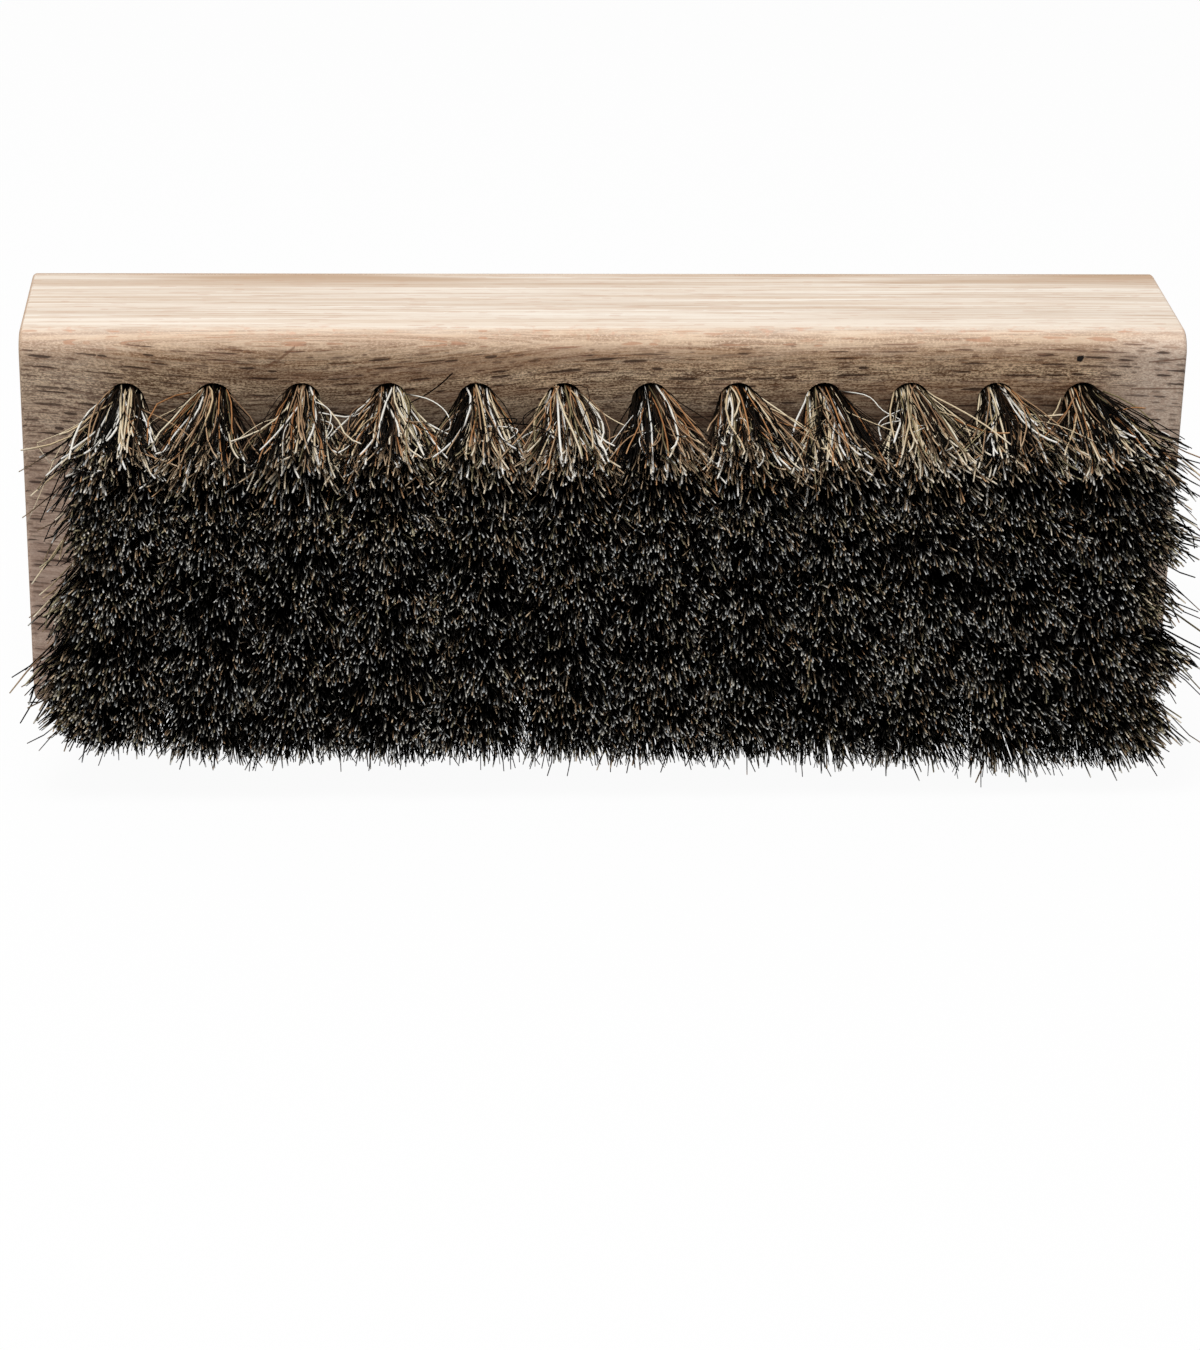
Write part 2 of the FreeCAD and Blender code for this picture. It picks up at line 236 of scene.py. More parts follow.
# Loose hairs that lie across the top row: tone, radius and the points they pass, in millimetres
LOOSE_HAIRS = (
    (STRAW, 0.06, ((-64, -4, 44), (-67.5, -9, 43), (-69.5, -12, 41), (-71, -15, 38), (-73, -17, 34))),
    (STRAW, 0.06, ((-64, -4, 44), (-68.5, -9, 43), (-71.5, -10, 42), (-72, -10, 41.5), (-70.5, -11, 39.5))),
    (WHITE, 0.09, ((-67, -24, 44), (-64.5, -25.5, 44), (-63, -26, 44))),
    (BLACK, 0.08, ((-64, -8.5, 45), (-67, -20.5, 44.5), (-71, -22, 36))),
    (CHESTNUT, 0.08, ((-67.5, -12, 43.5), (-64.5, -11, 44.5), (-61, -9, 45))),
    (CHESTNUT, 0.11, ((-54, -15, 44), (-51, -14, 44.5), (-47.5, -12, 44.5))),
    (WHITE, 0.11, ((-55.5, -23, 44), (-53, -15.5, 44.5), (-50.5, -7.5, 45))),
    (WHITE, 0.1, ((-40, -19, 44.5), (-39.5, -13.5, 44.5), (-38, -8, 45), (-33, -9.5, 45), (-30, -5, 45))),
    (BLACK, 0.08, ((-35, -8, 45), (-32.5, -9, 45), (-29.5, -7.5, 45), (-25.5, -5, 45))),
    (WHITE, 0.11, ((-33.5, -27.5, 44), (-32.5, -25.5, 44), (-31.5, -23.5, 44))),
    (BLACK, 0.09, ((-26.5, -6, 45), (-23.5, -3, 45.5), (-21.5, -3, 47), (-20, -3, 48.5))),
    (WHITE, 0.09, (
        (-26, -2.5, 45.5), (-23, -6, 46), (-21, -9, 45.5), (-20.5, -12, 44.5), (-22.5, -14, 44.5),
    )),
    (WHITE, 0.12, ((-23.5, -11.5, 45), (-21, -14, 44.5), (-18.5, -16.5, 44.5))),
    (WHITE, 0.13, ((-16, -27.5, 43.5), (-13.5, -19.5, 44), (-11, -14.5, 44.5), (-7.5, -11.5, 44.5))),
    (STRAW, 0.09, ((-4, -1.5, 45.5), (-1.5, -7.5, 45), (1.5, -11.5, 44.5), (5, -14.5, 44.5))),
    (WHITE, 0.11, ((6, -12, 44.5), (7.5, -11.5, 44.5), (7.5, -14, 44.5), (7, -18, 44.5), (6, -22.5, 44))),
    (STRAW, 0.1, ((8, -10, 45), (10.5, -17.5, 44.5), (13.5, -22.5, 44))),
    (WHITE, 0.13, ((15.5, -2, 45.5), (14.5, -8.5, 45), (14.5, -14, 44.5), (16, -21, 44))),
    (CHESTNUT, 0.09, ((19, -10, 45), (23.5, -12.5, 44.5), (29.5, -16.5, 44.5))),
    (WHITE, 0.12, ((25.5, -3.5, 45.5), (25, -11.5, 44.5), (26, -17.5, 44.5), (27, -25, 44))),
    (WHITE, 0.08, (
        (29.5, -1.5, 45.5), (33, -3.5, 45.5), (34.5, -7.5, 45), (37, -10.5, 44.5), (39, -17.5, 44.5),
    )),
    (STRAW, 0.14, ((40, -0.5, 45.5), (42, -5.5, 45), (43.5, -11.5, 44.5), (47.5, -16, 44.5))),
    (STRAW, 0.12, ((40.5, -2, 45.5), (43, -8, 45), (45.5, -13, 44.5), (48.5, -16.5, 44.5))),
    (WHITE, 0.1, ((49.5, -1.5, 45.5), (49.5, -7.5, 45), (50.5, -10, 45), (50, -13.5, 44.5), (48, -17, 44.5))),
    (STRAW, 0.14, ((51, -3.5, 45.5), (52.5, -8, 45), (54.5, -9.5, 45), (57.5, -9, 45))),
    (CHESTNUT, 0.1, ((63.5, -9, 45), (66, -8, 45.5), (68, -8, 45.5))),
    (WHITE, 0.09, (
        (63.5, -8, 45), (65.5, -11.5, 44.5), (67.5, -13, 44.5), (69.5, -14.5, 44.5), (70.5, -18, 44),
    )),
)


def srgb(red, green, blue):
    """A colour as it is read off a screen, 0 to 255, as Blender's linear colour."""
    linear = []
    for level in (red, green, blue):
        share = level / 255
        linear.append(share / 12.92 if share <= 0.04045 else ((share + 0.055) / 1.055) ** 2.4)
    return (*linear, 1.0)


# Node helpers

def new_tree(name):
    """A fresh material and its node tree, empty."""
    material = bpy.data.materials.new(name)
    material.use_nodes = True
    tree = material.node_tree
    tree.nodes.clear()
    return material, tree


def node(tree, kind, inputs=None, **settings):
    """A node with its settings made and its inputs set or linked."""
    made = tree.nodes.new(kind)
    for name, value in settings.items():
        setattr(made, name, value)
    for name, value in (inputs or {}).items():
        if isinstance(value, bpy.types.NodeSocket):
            tree.links.new(value, made.inputs[name])
        else:
            made.inputs[name].default_value = value
    return made


def calc(tree, operation, *values):
    """The output of a Math node."""
    return node(tree, "ShaderNodeMath", dict(enumerate(values)), operation=operation).outputs[0]


def product(tree, first, *others):
    """All the values multiplied."""
    for other in others:
        first = calc(tree, "MULTIPLY", first, other)
    return first


def scaled(tree, value, factor, added):
    """A value times a factor, plus something added."""
    return calc(tree, "MULTIPLY_ADD", value, factor, added)


def less(tree, value, taken):
    """A value with something taken from it."""
    return calc(tree, "SUBTRACT", value, taken)


def larger(tree, first, second):
    """The larger of two values."""
    return calc(tree, "MAXIMUM", first, second)


def joined(tree, *parts):
    """Up to three values as one vector."""
    return node(tree, "ShaderNodeCombineXYZ", dict(enumerate(parts))).outputs[0]


def distance(tree, first, second):
    """The length of a vector of two values."""
    flat = {0: joined(tree, first, second)}
    return node(tree, "ShaderNodeVectorMath", flat, operation="LENGTH").outputs["Value"]


def ramp(tree, factor, stops):
    """A colour ramp through stops of place and colour."""
    made = node(tree, "ShaderNodeValToRGB", {"Fac": factor})
    scale = made.color_ramp
    while len(scale.elements) < len(stops):
        scale.elements.new(0.5)
    for element, (place, colour) in zip(scale.elements, stops):
        element.position = place
        element.color = colour
    return made.outputs["Color"]


def fade(tree, value, low, high, kind="SMOOTHSTEP"):
    """0 below low, 1 above high, smooth between them unless another kind is named."""
    limits = {"Value": value, "From Min": low, "From Max": high}
    return node(tree, "ShaderNodeMapRange", limits, interpolation_type=kind).outputs["Result"]


def mixed(tree, factor, first, second, blend="MIX"):
    """Two colours mixed by a factor."""
    made = node(tree, "ShaderNodeMix", data_type="RGBA", blend_type=blend)
    for socket, value in ((made.inputs[0], factor), (made.inputs[6], first), (made.inputs[7], second)):
        if isinstance(value, bpy.types.NodeSocket):
            tree.links.new(value, socket)
        else:
            socket.default_value = value
    return made.outputs[2]


def tinted(tree, base, colour, *strengths):
    """A colour laid over a base as strongly as all the strengths multiplied."""
    return mixed(tree, product(tree, *strengths), base, colour)


def streaks(tree, vector, scale, detail=2.0, roughness=0.5, move=(0, 0, 0)):
    """Noise drawn out by its own scale along each axis."""
    drawn = {"Vector": vector, "Scale": scale, "Location": move}
    drawn = node(tree, "ShaderNodeMapping", drawn).outputs["Vector"]
    values = {"Vector": drawn, "Scale": 1.0, "Detail": detail, "Roughness": roughness}
    return node(tree, "ShaderNodeTexNoise", values).outputs["Fac"]


def finish_material(tree, colour, roughness, height=None, relief=(0.0, 0.0), **plain):
    """Ends a material in a Principled shader, with its plain numbers on the shader's own sockets."""
    shader = node(tree, "ShaderNodeBsdfPrincipled", {"Base Color": colour, "Roughness": roughness})
    for name, value in plain.items():
        shader.inputs[name].default_value = value
    if height is not None:
        values = {"Height": height, "Strength": relief[0], "Distance": relief[1]}
        tree.links.new(node(tree, "ShaderNodeBump", values).outputs["Normal"], shader.inputs["Normal"])
    out = node(tree, "ShaderNodeOutputMaterial")
    tree.links.new(shader.outputs[0], out.inputs["Surface"])


# Beech

def stripe(tree, x, height, span, course, half_width):
    """A thin line drawn on the wood between two places of x, along a course of height, slope and curve."""
    level, slope, curve = course
    run = less(tree, x, span[0])
    line = scaled(tree, run, scaled(tree, run, curve, slope), level)
    off = calc(tree, "ABSOLUTE", less(tree, height, line))
    on_line = fade(tree, off, half_width * 1.5, half_width * 0.5)
    return product(tree, on_line, calc(tree, "GREATER_THAN", x, span[0]), calc(tree, "LESS_THAN", x, span[1]))


def dashes(tree, x, height, cell, rough):
    """Dashes along the grain, one in most cells of an uneven net: the dark dash and a soft halo round it."""
    flat = joined(tree, calc(tree, "DIVIDE", x, cell[0]), calc(tree, "DIVIDE", height, cell[1]))
    net = {"Vector": flat, "Scale": 1.0, "Randomness": 1.0}
    cells = node(tree, "ShaderNodeTexVoronoi", net, voronoi_dimensions="2D").outputs
    away = {0: flat, 1: cells["Position"]}
    away = node(tree, "ShaderNodeVectorMath", away, operation="SUBTRACT").outputs[0]
    gap = node(tree, "ShaderNodeSeparateXYZ", {0: away}).outputs
    chance = node(tree, "ShaderNodeSeparateColor", {0: cells["Color"]}).outputs
    long_chance, seen_chance, thick_chance = chance
    length = scaled(tree, calc(tree, "POWER", long_chance, 1.5), 0.4, 0.12)
    thickness = scaled(tree, thick_chance, 0.13, 0.07)
    ragged = scaled(tree, less(tree, rough, 0.5), 0.3, gap[1])
    long_way = calc(tree, "POWER", calc(tree, "DIVIDE", gap[0], length), 2.0)
    cross_way = calc(tree, "POWER", calc(tree, "DIVIDE", ragged, thickness), 2.0)
    core = fade(tree, less(tree, 1.0, calc(tree, "ADD", long_way, cross_way)), 0.0, 0.4)
    soft_way = scaled(tree, long_way, 0.5, product(tree, cross_way, 0.1))
    halo = fade(tree, less(tree, 1.0, soft_way), 0.0, 0.9)
    seen = fade(tree, seen_chance, 0.2, 0.5)
    return product(tree, core, seen), product(tree, halo, seen)


def grain_course(tree, block_low, block_high):
    """The place of a point of the block, the way its surface looks, and the grain's course through it."""
    place = node(tree, "ShaderNodeTexCoord").outputs
    point = place["Object"]
    x, y, z = node(tree, "ShaderNodeSeparateXYZ", {0: point}).outputs
    look_x, look_y, look_z = node(tree, "ShaderNodeSeparateXYZ", {0: place["Normal"]}).outputs
    depth = less(tree, y, block_low.y)
    mid_height = (block_low.z + block_high.z) / 2
    toward_end = calc(tree, "ABSOLUTE", look_x)
    toward_side = calc(tree, "ABSOLUTE", look_z)
    on_end = fade(tree, toward_end, 0.75, 0.97)

    # The grain dips once along the block and wanders a little, and all that follows the fibre goes with it
    from_dip = calc(tree, "DIVIDE", less(tree, x, DIP_PLACE), DIP_WIDTH)
    dip = calc(tree, "EXPONENT", product(tree, from_dip, from_dip, -1.0))
    wander = streaks(tree, point, (22, 9, 14), 1.0)
    sway = scaled(tree, dip, DIP_DEPTH, product(tree, wander, WANDER_ACROSS))
    swayed = scaled(tree, sway, fade(tree, toward_side, 1.0, 0.5), z)
    flow = joined(tree, x, scaled(tree, wander, WANDER_BACK, y), swayed)

    # The side turns into the bristle face over the rounded edge, with a ragged border
    torn = streaks(tree, flow, (110, 500, 900), 3.0, 0.65)
    turned = calc(tree, "ARCCOSINE", calc(tree, "MINIMUM", toward_side, 1.0))
    ragged = scaled(tree, less(tree, torn, 0.5), RAGGED_BORDER, 1.0)
    turned = product(tree, turned, ragged, calc(tree, "LESS_THAN", look_y, 0.0))
    return SimpleNamespace(
        point=point, x=x, z=z, depth=depth, from_back=less(tree, block_high.y, y),
        from_mid_length=calc(tree, "ABSOLUTE", x),
        from_mid_height=calc(tree, "ABSOLUTE", less(tree, z, mid_height)),
        around=calc(tree, "ADD", swayed, depth),
        dip=dip, wander=wander, flow=flow, torn=torn, toward_end=toward_end,
        on_end=on_end, off_end=less(tree, 1.0, on_end), on_back=fade(tree, look_y, 0.05, 0.95),
        on_face=fade(tree, turned, 0.06, 1.5, "LINEAR"), near_face=fade(tree, depth, *NEAR_FACE),
    )


def fibre_streaks(tree, flow):
    """Fibre along the grain: long thin streaks and lines, short fine ones, sanded fuzz and broad bands."""
    return SimpleNamespace(
        streak=streaks(tree, flow, (75, 1500, 2600), 3.0, 0.65),
        line=streaks(tree, flow, (60, 2300, 2600), 1.0, move=(3, 5, 7)),
        thread=streaks(tree, flow, (19, 1700, 2400), 3.0, 0.65, (11, 2, 4)),
        fine=streaks(tree, flow, (300, 6000, 6500), 2.0, 0.6),
        fuzz=streaks(tree, flow, (2800, 6000, 6000), 3.0, 0.7),
        band=streaks(tree, flow, (13, 330, 330), 2.0, 0.5),
    )


def side_wood(tree, grain, fibre):
    """The pale long sides, banded towards the back, with a painted highlight near the bristle face."""
    wood = mixed(tree, fade(tree, fibre.thread, 0.3, 0.7), srgb(229, 207, 185), srgb(255, 246, 233))
    wood = tinted(tree, wood, srgb(202, 170, 142), fade(tree, fibre.line, 0.58, 0.72), 0.6)
    toward_back = fade(tree, grain.from_back, *BANDED_BACK)
    toward_back = product(tree, toward_back, scaled(tree, grain.on_back, -0.8, 1.0))
    banded = product(tree, fade(tree, fibre.band, 0.42, 0.62), scaled(tree, toward_back, 0.55, 0.25))
    wood = tinted(tree, wood, srgb(198, 167, 138), scaled(tree, toward_back, 0.25, banded))
    # Painted highlight along the side where it turns into the rounded edge
    return tinted(tree, wood, srgb(255, 240, 222), fade(tree, grain.depth, *SIDE_HIGHLIGHT), 0.4)


def edge_wood(tree, fibre):
    """The tan wood of the rounded edge: partly wood tone, partly painted shade stepping from the lit side to
    the shaded bristle face.
    """
    wood = mixed(tree, fade(tree, fibre.streak, 0.36, 0.64), srgb(168, 122, 86), srgb(242, 208, 174))
    return tinted(tree, wood, srgb(246, 218, 190), fade(tree, fibre.fuzz, 0.5, 0.64), 0.5)


def face_wood(tree, grain, fibre, edge):
    """The bristle face: warm brown, made darker than the pale sides as painted shade, tan under the edge
    where that shade is lighter, with painted bounce light lower down and painted light at both ends.
    """
    # The face's browns are the sides' beech made darker as painted shade, over its own streaks, bands and
    # fuzz
    rubbed = scaled(tree, fibre.fuzz, 0.6, product(tree, fibre.fine, 0.4))
    wood = mixed(tree, fade(tree, rubbed, 0.41, 0.6), srgb(100, 70, 46), srgb(255, 224, 186))
    wood = tinted(tree, wood, srgb(98, 68, 48), fade(tree, fibre.streak, 0.5, 0.68), 0.45)
    wood = tinted(tree, wood, srgb(140, 98, 68), fade(tree, fibre.band, 0.42, 0.64), 0.5)
    wood = tinted(tree, wood, srgb(84, 56, 38), grain.dip, fade(tree, grain.torn, 0.35, 0.65), 0.4)
    # Tan just under the rounded edge: the painted shade of the face is lighter there, near the lit side
    under_edge = fade(tree, scaled(tree, grain.torn, UNDER_EDGE_TEAR, grain.z), *UNDER_EDGE)
    wood = tinted(tree, wood, edge, under_edge, 0.6)
    # Painted bounce light from the table: the face turns paler lower down
    bounce_lit = mixed(tree, fade(tree, fibre.streak, 0.4, 0.6), srgb(238, 205, 188), srgb(196, 158, 141))
    wood = tinted(tree, wood, bounce_lit, fade(tree, grain.z, *BOUNCE_LIGHT_HEIGHTS), 0.8)
    # Painted light at both ends of the face, where no tufts keep the light off
    at_left = product(tree, fade(tree, grain.x, *LIT_LEFT_END), 0.3)
    at_ends = scaled(tree, fade(tree, grain.x, *LIT_RIGHT_END), 0.85, at_left)
    light = mixed(tree, fade(tree, fibre.fuzz, 0.4, 0.6), srgb(226, 196, 174), srgb(255, 234, 214))
    return tinted(tree, wood, light, at_ends)


def flecked(tree, wood, grain, fine):
    """Ray flecks: dark dashes on the faces, reddish ones on the rounded edge. Gives the flecks too."""
    fleck, halo = dashes(tree, grain.x, grain.around, FLECK_CELL, fine)
    shifted = calc(tree, "ADD", grain.around, SMALL_FLECK_SHIFT)
    small_fleck, small_halo = dashes(tree, grain.x, shifted, SMALL_FLECK_CELL, fine)
    fleck = larger(tree, fleck, product(tree, small_fleck, 0.5))
    halo = product(tree, larger(tree, halo, small_halo), grain.off_end)
    wood = tinted(tree, wood, srgb(118, 76, 52), halo, fade(tree, grain.on_face, 0.5, 0.95), 0.3)
    colour = mixed(tree, fade(tree, grain.on_face, 0.62, 0.92), srgb(200, 146, 114), srgb(46, 26, 18))
    strength = scaled(tree, grain.near_face, 0.26, scaled(tree, grain.on_back, 0.4, 0.28))
    fleck = product(tree, fleck, grain.off_end, scaled(tree, grain.on_face, 0.28, strength))
    return mixed(tree, fleck, wood, colour), fleck


def marked(tree, wood, grain):
    """Salmon patches on the rounded edge, and marks of use on the face: end checks, a scar and a pin hole."""
    patch = fade(tree, streaks(tree, grain.flow, (480, 600, 600), 3.0, 0.7), 0.54, 0.68)
    on_edge = fade(tree, grain.on_face, 0.55, 0.2)
    wood = tinted(tree, wood, srgb(226, 172, 142), patch, on_edge, grain.near_face, 0.55)

    in_front = fade(tree, grain.depth, *MARKS_DEPTH)
    straight_around = calc(tree, "ADD", grain.z, grain.depth)
    marks = product(tree, stripe(tree, grain.x, straight_around, *SCAR), 0.85)
    for check in END_CHECKS:
        marks = larger(tree, marks, stripe(tree, grain.x, grain.around, *check))
    wood = tinted(tree, wood, srgb(112, 68, 40), marks, in_front, 0.7)
    # The pin hole is not cut into the block: its dark dot is painted shade in the hole
    from_pin = distance(tree, less(tree, grain.x, PIN_HOLE[0]), less(tree, grain.z, PIN_HOLE[1]))
    from_pin = scaled(tree, streaks(tree, grain.point, (2400, 2400, 2400), 1.0), PIN_HOLE_FRAY, from_pin)
    return tinted(tree, wood, srgb(18, 11, 8), fade(tree, from_pin, *PIN_HOLE_BORDER), in_front)


def painted_tuft_and_hole_shade(tree, wood, grain, band):
    """Painted shade on the face between the tufts, and painted shade on the walls inside the holes."""
    # Painted shade between the tufts, where the hairs keep the light off the face
    low_down = fade(tree, grain.z, *TUFT_SHADE_HEIGHTS)
    among = fade(tree, grain.from_mid_length, *TUFT_SHADE_REACH)
    wood = tinted(tree, wood, srgb(58, 42, 31), low_down, among, grain.on_face, scaled(tree, band, 0.4, 0.4))
    # Painted shade on the walls inside the holes, deeper than the light reaches
    behind_face = fade(tree, grain.depth, *HOLE_MOUTHS)
    before_back = fade(tree, grain.from_back, *HOLE_BOTTOMS)
    off_ends = fade(tree, grain.from_mid_length, *HOLES_ALONG)
    off_sides = fade(tree, grain.from_mid_height, *HOLES_ACROSS)
    return tinted(tree, wood, srgb(30, 21, 15), behind_face, before_back, off_ends, off_sides)


def end_grain(tree, grain):
    """The sawn ends: darker, dotted with pores, with year rings round a heart behind the block."""
    to_heart = calc(tree, "ADD", grain.from_back, HEART_BEHIND)
    reach = distance(tree, to_heart, less(tree, grain.z, HEART_HEIGHT))
    drift = streaks(tree, joined(tree, reach), (210, 1, 1), 1.0)
    reach = scaled(tree, drift, YEAR_DRIFT, scaled(tree, grain.wander, YEAR_WANDER, reach))
    years = calc(tree, "DIVIDE", reach, YEAR_WIDTH)
    ring = calc(tree, "FRACT", years)
    year = {"W": calc(tree, "FLOOR", years)}
    year = node(tree, "ShaderNodeTexWhiteNoise", year, noise_dimensions="1D").outputs["Value"]
    late = product(tree, fade(tree, ring, 0.4, 0.9), fade(tree, ring, 1.0, 0.92))
    late = product(tree, late, scaled(tree, year, 0.8, 0.2))
    pores = fade(tree, streaks(tree, grain.point, (5200, 5200, 5200), 1.0), 0.55, 0.7)
    wood = tinted(tree, srgb(206, 170, 132), srgb(168, 126, 92), late, 0.6)
    return tinted(tree, wood, srgb(130, 92, 64), pores, 0.5)


def beech_material(block_low, block_high):
    """Sanded beech: pale sides, tan edges, a warm bristle face with its marks, and end grain; with painted
    shade on the edges, the face, between the tufts and in the holes, and painted light on the side, low on
    the face and at its ends.
    """
    material, tree = new_tree("sanded_beech")
    grain = grain_course(tree, block_low, block_high)
    fibre = fibre_streaks(tree, grain.flow)
    edge = edge_wood(tree, fibre)
    # Pale side, tan edge and brown face follow the way the surface turns: wood tone with painted shade
    on_edge = product(tree, grain.on_face, less(tree, 1.0, grain.on_face), 2.6)
    side = mixed(tree, on_edge, side_wood(tree, grain, fibre), edge)
    eased = larger(tree, grain.on_face, fade(tree, grain.toward_end, 0.3, 0.6))
    wood = mixed(tree, eased, side, face_wood(tree, grain, fibre, edge))
    wood, fleck = flecked(tree, wood, grain, fibre.fine)
    wood = marked(tree, wood, grain)
    wood = painted_tuft_and_hole_shade(tree, wood, grain, fibre.band)
    wood = mixed(tree, grain.on_end, wood, end_grain(tree, grain))
    roughness = scaled(tree, fibre.streak, 0.18, 0.5)
    height = less(tree, scaled(tree, fibre.streak, 0.5, product(tree, fibre.fine, 0.5)), fleck)
    finish_material(tree, wood, roughness, height, BEECH_RELIEF, **{"Specular IOR Level": 0.35})
    return material


# Other materials

def hair_material():
    """Bristle hair: the map's U is the tone of a hair, its V runs from the root to the tip."""
    material, tree = new_tree("bristle_hair")
    chart = node(tree, "ShaderNodeUVMap", uv_map="OFBake").outputs["UV"]
    split = node(tree, "ShaderNodeSeparateXYZ", {0: chart})
    tone, along = split.outputs[0], split.outputs[1]
    shaft = ramp(tree, tone, (
        (0.00, srgb(3, 3, 3)), (0.25, srgb(7, 6, 5)), (0.495, srgb(14, 10, 8)),
        (0.505, srgb(2, 2, 2)), (0.595, srgb(7, 5, 4)),
        (0.605, srgb(26, 19, 14)), (0.695, srgb(64, 47, 35)),
        (0.705, srgb(128, 97, 73)), (0.755, srgb(208, 172, 134)),
        (0.76, srgb(92, 82, 58)), (0.80, srgb(168, 154, 116)),
        (0.81, srgb(152, 100, 62)), (0.865, srgb(200, 146, 98)),
        (0.872, srgb(216, 188, 146)), (0.945, srgb(255, 244, 216)),
        (0.95, srgb(248, 242, 228)), (1.00, srgb(255, 254, 250)),
    ))
    # Tip colours: pale from wear, with bluish whites that are painted highlight
    tip = ramp(tree, tone, (
        (0.00, srgb(10, 9, 8)), (0.13, srgb(40, 37, 34)),
        (0.15, srgb(66, 62, 54)), (0.19, srgb(104, 96, 78)), (0.23, srgb(116, 116, 116)),
        (0.28, srgb(138, 120, 100)), (0.33, srgb(168, 166, 160)),
        (0.34, srgb(190, 196, 200)), (0.38, srgb(222, 214, 196)),
        (0.42, srgb(238, 240, 240)), (0.455, srgb(252, 246, 232)),
        (0.465, srgb(226, 190, 152)), (0.495, srgb(176, 132, 96)),
        (0.505, srgb(22, 20, 18)), (0.595, srgb(62, 55, 48)),
        (0.605, srgb(128, 106, 84)), (0.69, srgb(176, 152, 122)), (0.755, srgb(228, 204, 172)),
        (0.76, srgb(150, 138, 104)), (0.80, srgb(206, 196, 164)),
        (0.81, srgb(200, 152, 110)), (0.865, srgb(228, 186, 142)),
        (0.872, srgb(240, 224, 196)), (1.00, srgb(254, 253, 250)),
    ))

    # Pale tips on all hairs, partly pale from wear and partly painted highlight on their lit cut ends, and
    # longer bleached ends on the brown and fair ones
    wander = streaks(tree, chart, (260, 6, 1))
    reach = scaled(tree, wander, 0.04, along)
    worn_tip_glint = calc(tree, "POWER", fade(tree, reach, 0.94, 1.005, "LINEAR"), 2.2)
    bleached = calc(tree, "POWER", fade(tree, reach, 0.76, 1.005, "LINEAR"), 2.2)
    bleached = product(tree, bleached, calc(tree, "GREATER_THAN", tone, BLACK[1]))
    colour = mixed(tree, larger(tree, worn_tip_glint, bleached), shaft, tip)

    # Shade at the root, and lighter and darker places along the hair
    shaded = mixed(tree, 1.0, colour, srgb(70, 64, 58), "MULTIPLY")
    colour = mixed(tree, fade(tree, along, 0.03, 0.14), shaded, colour)
    patches = scaled(tree, streaks(tree, chart, (300, 14, 1)), 0.6, 0.68)
    grey = node(tree, "ShaderNodeCombineColor", {0: patches, 1: patches, 2: patches}).outputs[0]
    colour = mixed(tree, 1.0, colour, grey, "MULTIPLY")
    roughness = scaled(tree, wander, 0.2, 0.36)
    finish_material(tree, colour, roughness, **{"Specular IOR Level": 0.03})
    return material


def wire_material():
    """Flat anchor wire: drawn steel with fine lines along its length."""
    material, tree = new_tree("drawn_wire")
    point = node(tree, "ShaderNodeTexCoord").outputs["Object"]
    lines = streaks(tree, point, (9000, 9000, 300))
    colour = mixed(tree, lines, srgb(150, 150, 152), srgb(190, 190, 190))
    roughness = scaled(tree, lines, 0.25, 0.25)
    finish_material(tree, colour, roughness, lines, WIRE_RELIEF, Metallic=1.0)
    return material


def table_material():
    """White table top: seen white by the camera, with a soft shadow left on it."""
    material, tree = new_tree("white_table")
    rays = node(tree, "ShaderNodeLightPath").outputs
    seen = larger(tree, rays["Is Camera Ray"], rays["Is Glossy Ray"])
    seen = larger(tree, seen, rays["Is Transmission Ray"])
    matt = node(tree, "ShaderNodeBsdfDiffuse", {"Color": mixed(tree, seen, TABLE_LIT, TABLE_SEEN)})
    glow = node(tree, "ShaderNodeEmission", {"Color": (1, 1, 1, 1), "Strength": 1.0})
    layers = {0: product(tree, seen, TABLE_GLOW), 1: matt.outputs[0], 2: glow.outputs[0]}
    blend = node(tree, "ShaderNodeMixShader", layers)
    out = node(tree, "ShaderNodeOutputMaterial")
    tree.links.new(blend.outputs[0], out.inputs["Surface"])
    return material


# Modelling of hairs

def select_where(obj, test):
    """Selects the vertices of a mesh in edit mode by their place."""
    mesh = bmesh.from_edit_mesh(obj.data)
    for vertex in mesh.verts:
        vertex.select = test(vertex.co)
    mesh.select_flush_mode()
    bmesh.update_edit_mesh(obj.data)


def model_hair(places):
    """One straight hair of unit length and radius, ringed so that it can bend, with a narrowed cut tip."""
    bpy.ops.object.select_all(action="DESELECT")
    bpy.ops.mesh.primitive_cylinder_add(
        vertices=HAIR_SIDES, radius=1, depth=1, end_fill_type="NOTHING", location=(0, 0, 0.5)
    )
    hair = bpy.context.object
    bpy.ops.object.transform_apply(location=True, rotation=True, scale=True)
    bpy.ops.object.mode_set(mode="EDIT")
    bpy.ops.mesh.select_mode(type="VERT")
    for height in places[1:-1]:
        bpy.ops.mesh.select_all(action="SELECT")
        bpy.ops.mesh.bisect(plane_co=(0, 0, height), plane_no=(0, 0, 1))
    select_where(hair, lambda co: co.z > TIP_HEIGHT)
    bpy.ops.mesh.edge_face_add()
    bpy.ops.transform.resize(value=(TIP_NARROWING, TIP_NARROWING, 1), center_override=(0, 0, 1))
    bpy.ops.mesh.select_all(action="SELECT")
    bpy.ops.mesh.normals_make_consistent(inside=False)
    bpy.ops.object.mode_set(mode="OBJECT")
    return hair


